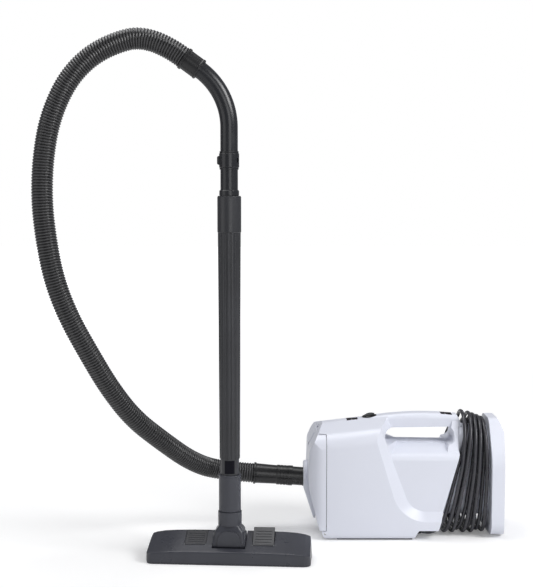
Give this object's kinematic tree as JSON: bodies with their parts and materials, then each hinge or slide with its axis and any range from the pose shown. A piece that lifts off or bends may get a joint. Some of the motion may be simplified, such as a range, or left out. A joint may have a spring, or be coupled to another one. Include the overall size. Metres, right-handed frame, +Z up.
{
  "type": "canister vacuum cleaner",
  "caption": "Small portable canister vacuum cleaner with a carrying handle, ribbed hose, bent handle tube, fluted wand and a two-pedal floor nozzle.",
  "frame": {"origin": "bottom centre of the whole set's bounding box, on the floor", "axes": "+Z up, +X from the wand towards the machine, along the machine's length from hose inlet to rear plate, -Y towards the front of the floor nozzle"},
  "size_m": [0.8509, 0.3454, 0.9229],
  "materials": {
    "body_white": "satin moulded shell",
    "switch_black": "gloss",
    "tool_charcoal": "fine moulded texture",
    "hose_black": "satin",
    "tube_black": "smooth moulded tube",
    "rubber_black": "matt",
    "cord_grey": "satin",
    "bright_steel": "plain",
    "blade_brass": "plain",
    "bag_paper": "paper and fleece",
    "filter_foam": "foam",
    "bag_card": "card",
    "inner_grey": "moulded",
    "fan_alloy": "stamped",
    "motor_steel": "zinc plated",
    "brush_carbon": "carbon",
    "bristle_grey": "nylon tufts",
    "lint_red": "directional pile"
  },
  "bodies": {
    "machine": {"housing_near": "body_white", "housing_far": "body_white", "housing_screws": "bright_steel", "rubber_feet": "rubber_black", "hinge_pin": "bright_steel", "cover_seal": "rubber_black", "rear_plate": "body_white", "rear_plate_screws": "bright_steel", "cord_grommet": "rubber_black", "power_cord_lead": "cord_grey", "power_cord_winding": "cord_grey", "power_plug": "cord_grey", "plug_blades": "blade_brass", "dust_bag": "bag_paper", "bag_collar": "bag_card", "bag_holder": "inner_grey", "filter_grid": "inner_grey", "motor_filter": "filter_foam", "exhaust_filter": "filter_foam", "fan_case": "inner_grey", "motor_can": "motor_steel", "stator_core": "motor_steel", "motor_brushes": "brush_carbon", "motor_mount_front": "rubber_black", "motor_mount_rear": "rubber_black", "switch_bezel": "switch_black", "strap_bar_front": "bright_steel", "strap_bar_rear": "bright_steel", "hose": "hose_black", "hose_cuff_handle": "hose_black"},
    "front_cover_body": {"front_cover": "body_white", "inlet_collar": "body_white", "inlet_gasket": "rubber_black", "hose_cuff_machine": "hose_black"},
    "latch": {"cover_latch": "body_white"},
    "hose_end": {"hose_end_fitting": "hose_black"},
    "motor_rotor": {"rotor": "bright_steel", "fan_impeller": "fan_alloy"},
    "switch_rocker": {"rocker_button": "switch_black"},
    "handle": {"bent_tube": "tube_black"},
    "suction_ring": {"bleed_ring": "tube_black"},
    "wand_body": {"wand": "tool_charcoal", "neck_tube": "tool_charcoal"},
    "elbow_body": {"elbow": "tool_charcoal"},
    "floor_nozzle": {"nozzle_shell": "tool_charcoal", "sole_plate": "tool_charcoal", "sole_screws": "bright_steel", "lint_strips": "lint_red", "elbow_pins": "bright_steel", "pedal_pins": "bright_steel", "wheel_axles": "bright_steel"},
    "right_pedal": {"pedal_right": "tool_charcoal"},
    "left_pedal": {"pedal_left": "tool_charcoal"},
    "brush_bar": {"brush_carrier": "tool_charcoal", "brush_bristles": "bristle_grey"},
    "left_wheel": {"wheel_left": "rubber_black"},
    "right_wheel": {"wheel_right": "rubber_black"}
  },
  "joints": [
    {"name": "cover_hinge", "type": "hinge", "parent": "machine", "child": "front_cover_body", "pos_m": [-0.0085, 0.08, 0.012], "axis": [0, -1, 0], "range_deg": [0, 32], "deforming": ["hose"]},
    {"name": "latch_slide", "type": "slide", "parent": "front_cover_body", "child": "latch", "axis": [0, 0, -1], "range_m": [0, 0.004], "stiffness_N_per_m": 300},
    {"name": "hose_swivel", "type": "hinge", "parent": "front_cover_body", "child": "hose_end", "pos_m": [-0.046, 0.08, 0.1005], "axis": [-0.9976, 0, 0.0698], "continuous": true},
    {"name": "motor_spin", "type": "hinge", "parent": "machine", "child": "motor_rotor", "pos_m": [0.145, 0.08, 0.092], "axis": [1, 0, 0], "continuous": true},
    {"name": "switch_rock", "type": "hinge", "parent": "machine", "child": "switch_rocker", "pos_m": [0.08, 0.08, 0.21672], "axis": [0, 1, 0], "range_deg": [0, 16]},
    {"name": "cuff_swivel", "type": "hinge", "parent": "machine", "child": "handle", "pos_m": [-0.2567, -0.1175, 0.8689], "axis": [0.8071, 0, -0.5904], "range_deg": [-180, 0]},
    {"name": "suction_ring_turn", "type": "hinge", "parent": "handle", "child": "suction_ring", "pos_m": [-0.18, -0.1175, 0.695], "axis": [0, 0, 1], "range_deg": [-60, 0]},
    {"name": "wand_twist", "type": "hinge", "parent": "handle", "child": "wand_body", "pos_m": [-0.18, -0.1175, 0.61], "axis": [0, 0, 1], "continuous": true},
    {"name": "neck_swivel", "type": "hinge", "parent": "wand_body", "child": "elbow_body", "pos_m": [-0.18, -0.1175, 0.075], "axis": [0, 0, 1], "continuous": true},
    {"name": "elbow_tilt", "type": "hinge", "parent": "elbow_body", "child": "floor_nozzle", "pos_m": [-0.18, -0.1175, 0.0285], "axis": [0.9973, -0.0732, 0], "range_deg": [0, 80]},
    {"name": "pedal_right_press", "type": "hinge", "parent": "floor_nozzle", "child": "right_pedal", "pos_m": [-0.1219, -0.13881, 0.0282], "axis": [0.9973, -0.0732, 0], "range_deg": [-14, 0]},
    {"name": "pedal_left_press", "type": "hinge", "parent": "floor_nozzle", "child": "left_pedal", "pos_m": [-0.24058, -0.1301, 0.0282], "axis": [0.9973, -0.0732, 0], "range_deg": [0, 14]},
    {"name": "brush_drop", "type": "slide", "parent": "floor_nozzle", "child": "brush_bar", "axis": [0, 0, -1], "range_m": [0, 0.006]},
    {"name": "wheel_left_spin", "type": "hinge", "parent": "floor_nozzle", "child": "left_wheel", "pos_m": [-0.27753, -0.08026, 0.008], "axis": [0.9973, -0.0732, 0], "continuous": true},
    {"name": "wheel_right_spin", "type": "hinge", "parent": "floor_nozzle", "child": "right_wheel", "pos_m": [-0.07807, -0.0949, 0.008], "axis": [0.9973, -0.0732, 0], "continuous": true}
  ],
  "couplings": [
    {"joint": "pedal_left_press", "follows": "pedal_right_press", "ratio": -1},
    {"joint": "brush_drop", "follows": "pedal_right_press", "m_per_rad": -0.024555}
  ]
}
